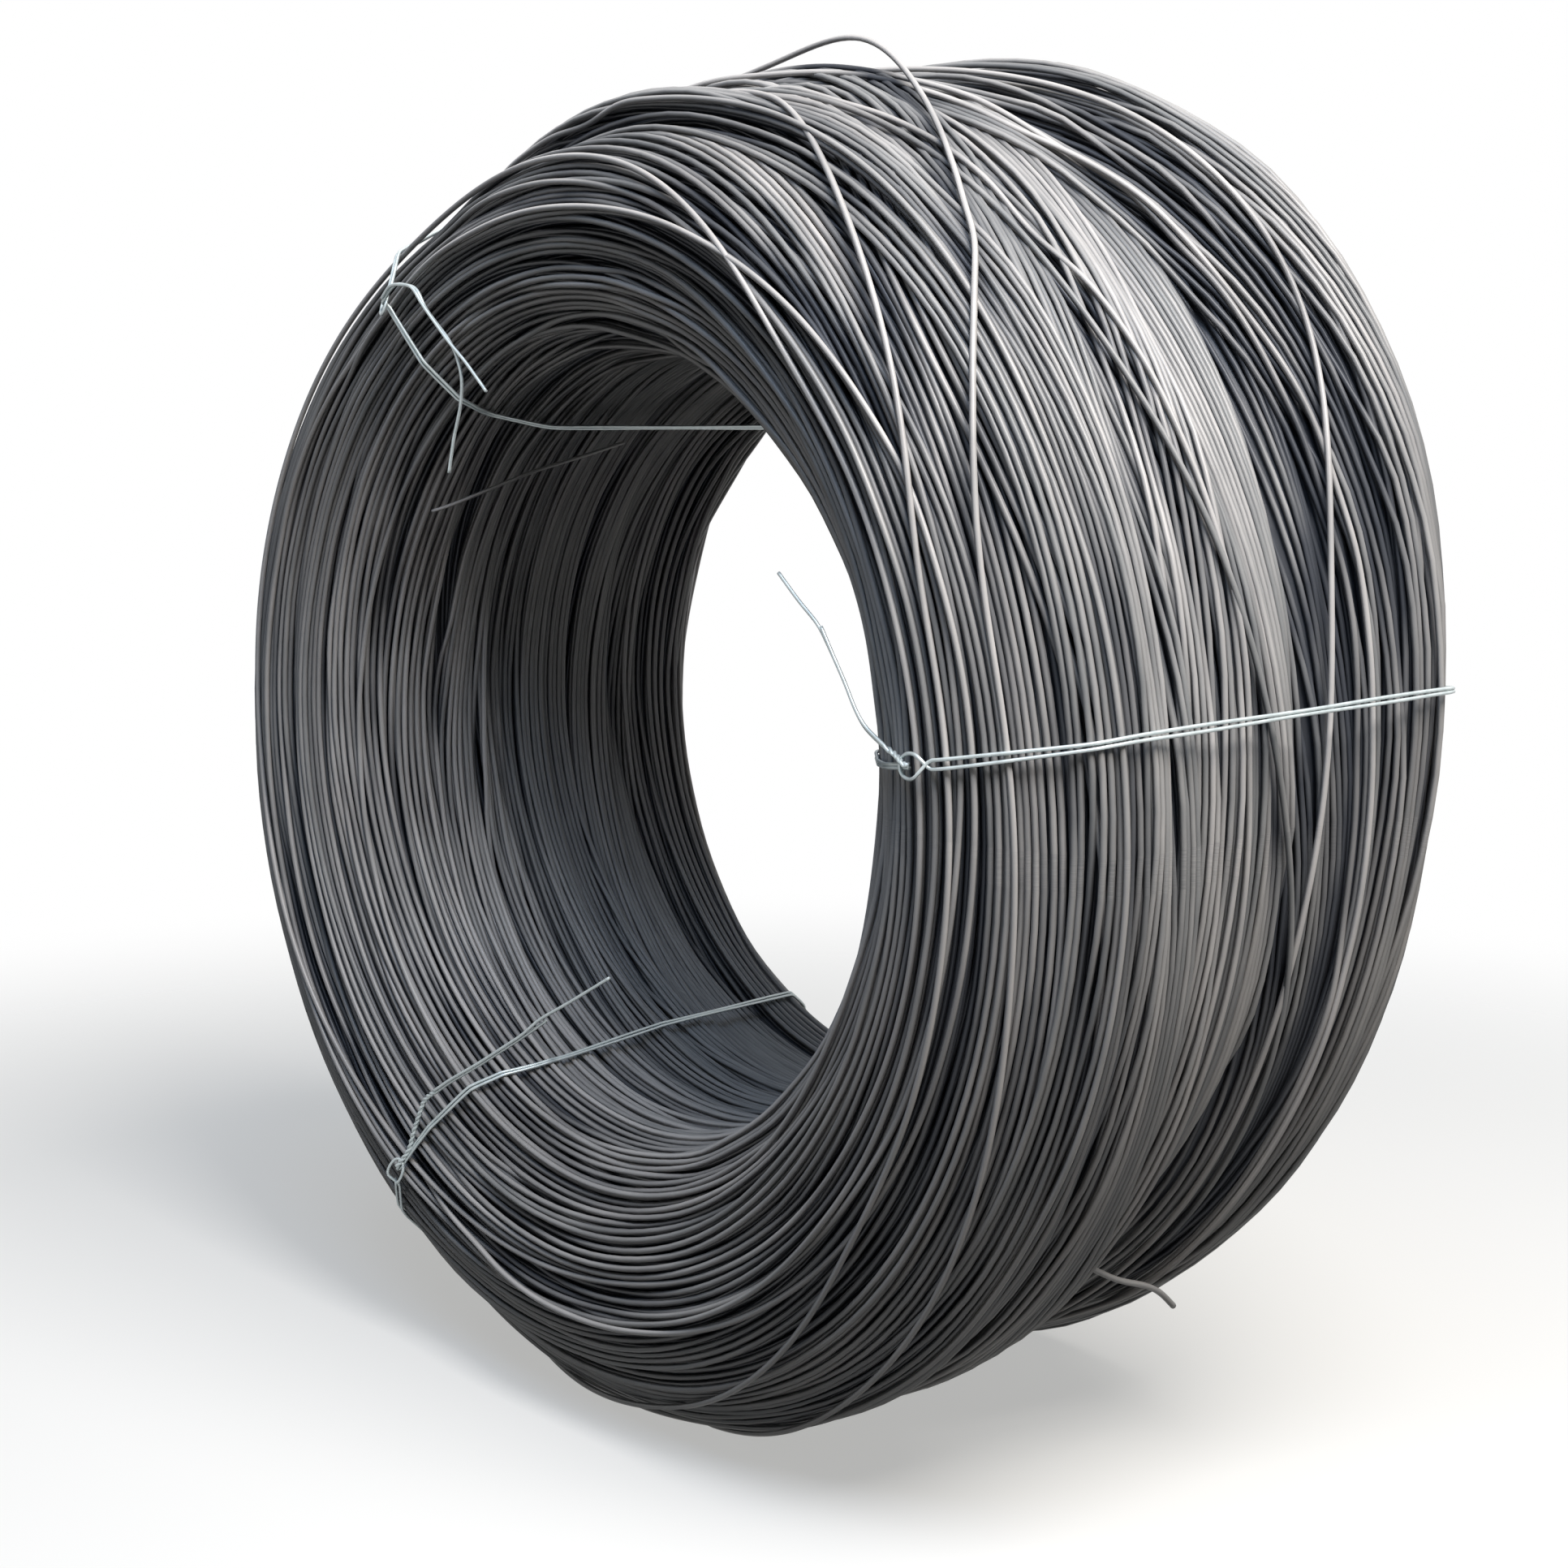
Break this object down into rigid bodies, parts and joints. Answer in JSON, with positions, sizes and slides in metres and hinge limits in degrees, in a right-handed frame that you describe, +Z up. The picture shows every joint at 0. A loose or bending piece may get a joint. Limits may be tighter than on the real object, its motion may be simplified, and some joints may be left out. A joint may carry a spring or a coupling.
{
  "type": "coil of wire rod",
  "caption": "Coil of dark steel wire rod lying on its side, rounded at both ends, with an open bore and doubled galvanised tie wires round its wall.",
  "frame": {"origin": "on the floor under the middle of the coil as it lies on its side", "axes": "+Y along the coil's axis from the front end with the tie eyes to the back end, +Z up, +X to the right as seen from the front"},
  "size_m": [1.2162, 0.4966, 1.22],
  "materials": {
    "rod_steel": "dark mill scale, satin",
    "tie_wire": "galvanised"
  },
  "bodies": {
    "root": {"wire_coil": "rod_steel", "tie_wire_right": "tie_wire", "tie_wire_upper_left": "tie_wire", "tie_wire_lower_left": "tie_wire"}
  },
  "joints": []
}
